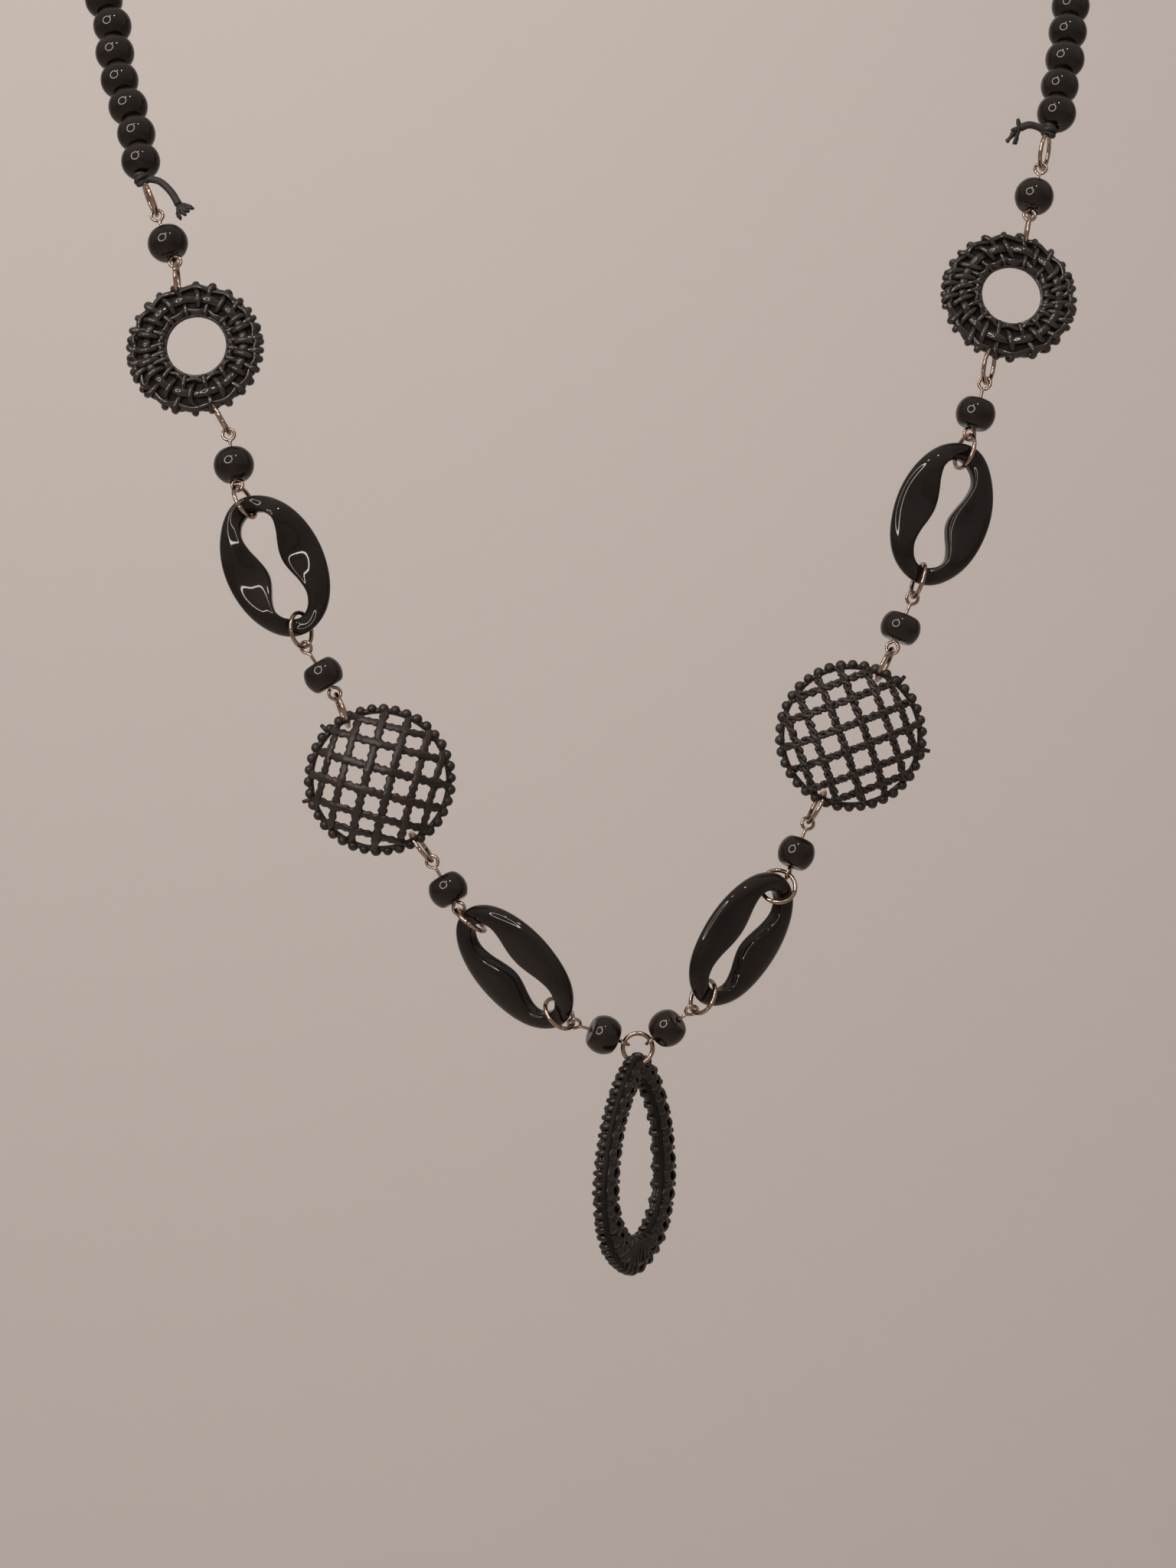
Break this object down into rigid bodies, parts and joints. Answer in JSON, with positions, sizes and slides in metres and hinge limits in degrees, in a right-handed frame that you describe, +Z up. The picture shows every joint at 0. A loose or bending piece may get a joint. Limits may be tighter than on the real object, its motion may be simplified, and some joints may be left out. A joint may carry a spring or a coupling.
{
  "type": "beaded chain necklace",
  "caption": "Long black necklace: bead strand, woven rings, wavy oval links, domed lattice discs and beads on rose-gold rings, with a woven drop.",
  "frame": {"origin": "middle of the back strand, where it lies on the nape of the neck", "axes": "+Z up, the wearer faces -Y, +X is on the right of someone who looks at the necklace"},
  "size_m": [0.2212, 0.2087, 0.3546],
  "materials": {
    "black_bead": "polished black",
    "black_oval": "polished black-brown, undulating",
    "black_wicker": "glossy waxed cord, basket woven",
    "dark_lattice": "satin black-brown",
    "black_cord": "waxed cord",
    "rose_gold_wire": "polished pale rose gold"
  },
  "bodies": {
    "chain": {"link_bead_l1": "black_bead", "link_bead_l2": "black_bead", "link_bead_l3": "black_bead", "link_bead_l4": "black_bead", "link_bead_l5": "black_bead", "link_bead_r1": "black_bead", "link_bead_r2": "black_bead", "link_bead_r3": "black_bead", "link_bead_r4": "black_bead", "link_bead_r5": "black_bead", "eye_pin_l1": "rose_gold_wire", "eye_pin_l2": "rose_gold_wire", "eye_pin_l3": "rose_gold_wire", "eye_pin_l4": "rose_gold_wire", "eye_pin_l5": "rose_gold_wire", "eye_pin_r1": "rose_gold_wire", "eye_pin_r2": "rose_gold_wire", "eye_pin_r3": "rose_gold_wire", "eye_pin_r4": "rose_gold_wire", "eye_pin_r5": "rose_gold_wire", "jump_ring_l0": "rose_gold_wire", "jump_ring_l1": "rose_gold_wire", "jump_ring_l2": "rose_gold_wire", "jump_ring_l3": "rose_gold_wire", "jump_ring_l4": "rose_gold_wire", "jump_ring_l5": "rose_gold_wire", "jump_ring_l6": "rose_gold_wire", "jump_ring_l7": "rose_gold_wire", "jump_ring_l8": "rose_gold_wire", "jump_ring_r0": "rose_gold_wire", "jump_ring_r1": "rose_gold_wire", "jump_ring_r2": "rose_gold_wire", "jump_ring_r3": "rose_gold_wire", "jump_ring_r4": "rose_gold_wire", "jump_ring_r5": "rose_gold_wire", "jump_ring_r6": "rose_gold_wire", "jump_ring_r7": "rose_gold_wire", "jump_ring_r8": "rose_gold_wire", "oval_link_l1": "black_oval", "oval_link_l2": "black_oval", "oval_link_r1": "black_oval", "oval_link_r2": "black_oval", "woven_ring_l": "black_wicker", "woven_ring_r": "black_wicker", "lattice_disc_l": "dark_lattice", "lattice_disc_r": "dark_lattice", "cord_knot_l": "black_cord", "cord_knot_r": "black_cord", "bead_strand_1": "black_bead", "bead_strand_2": "black_bead", "bead_strand_3": "black_bead", "bead_strand_4": "black_bead", "bead_strand_5": "black_bead", "bead_strand_6": "black_bead", "bead_strand_7": "black_bead", "bead_strand_8": "black_bead"},
    "hanging_ring": {"centre_ring": "rose_gold_wire"},
    "drop": {"drop_pendant": "black_wicker"}
  },
  "joints": [
    {"name": "ring_turn", "type": "hinge", "parent": "chain", "child": "hanging_ring", "pos_m": [0.015, -0.19, -0.304], "axis": [0, 1, 0], "range_deg": [-20, 20]},
    {"name": "drop_swing", "type": "hinge", "parent": "hanging_ring", "child": "drop", "pos_m": [0.015, -0.19, -0.30702], "axis": [1, 0, 0], "range_deg": [-35, 35]}
  ]
}
